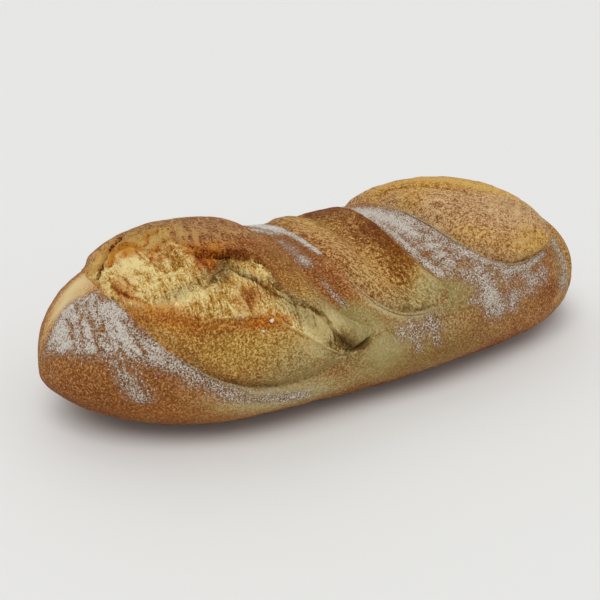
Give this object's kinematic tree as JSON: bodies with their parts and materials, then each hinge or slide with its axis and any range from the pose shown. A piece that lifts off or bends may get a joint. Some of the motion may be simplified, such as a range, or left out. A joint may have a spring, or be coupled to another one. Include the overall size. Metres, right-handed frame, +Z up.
{
  "type": "long white loaf",
  "caption": "Long white loaf, lying flat, with wide slanting slashes opened across its back and flour-dusted skin between them.",
  "frame": {"origin": "on the surface that the loaf rests on, under the middle of its length and width", "axes": "+X along the loaf from its blunt end to its slimmer end, -Y the front, towards which the slashes run down furthest, +Z up"},
  "size_m": [0.2998, 0.1291, 0.0836],
  "materials": {
    "crust": "baked wheat crust, matt, golden brown on the opened slashes, tan to red-brown and dusted with white flour on the skin"
  },
  "bodies": {
    "root": {"loaf": "crust"}
  },
  "joints": []
}
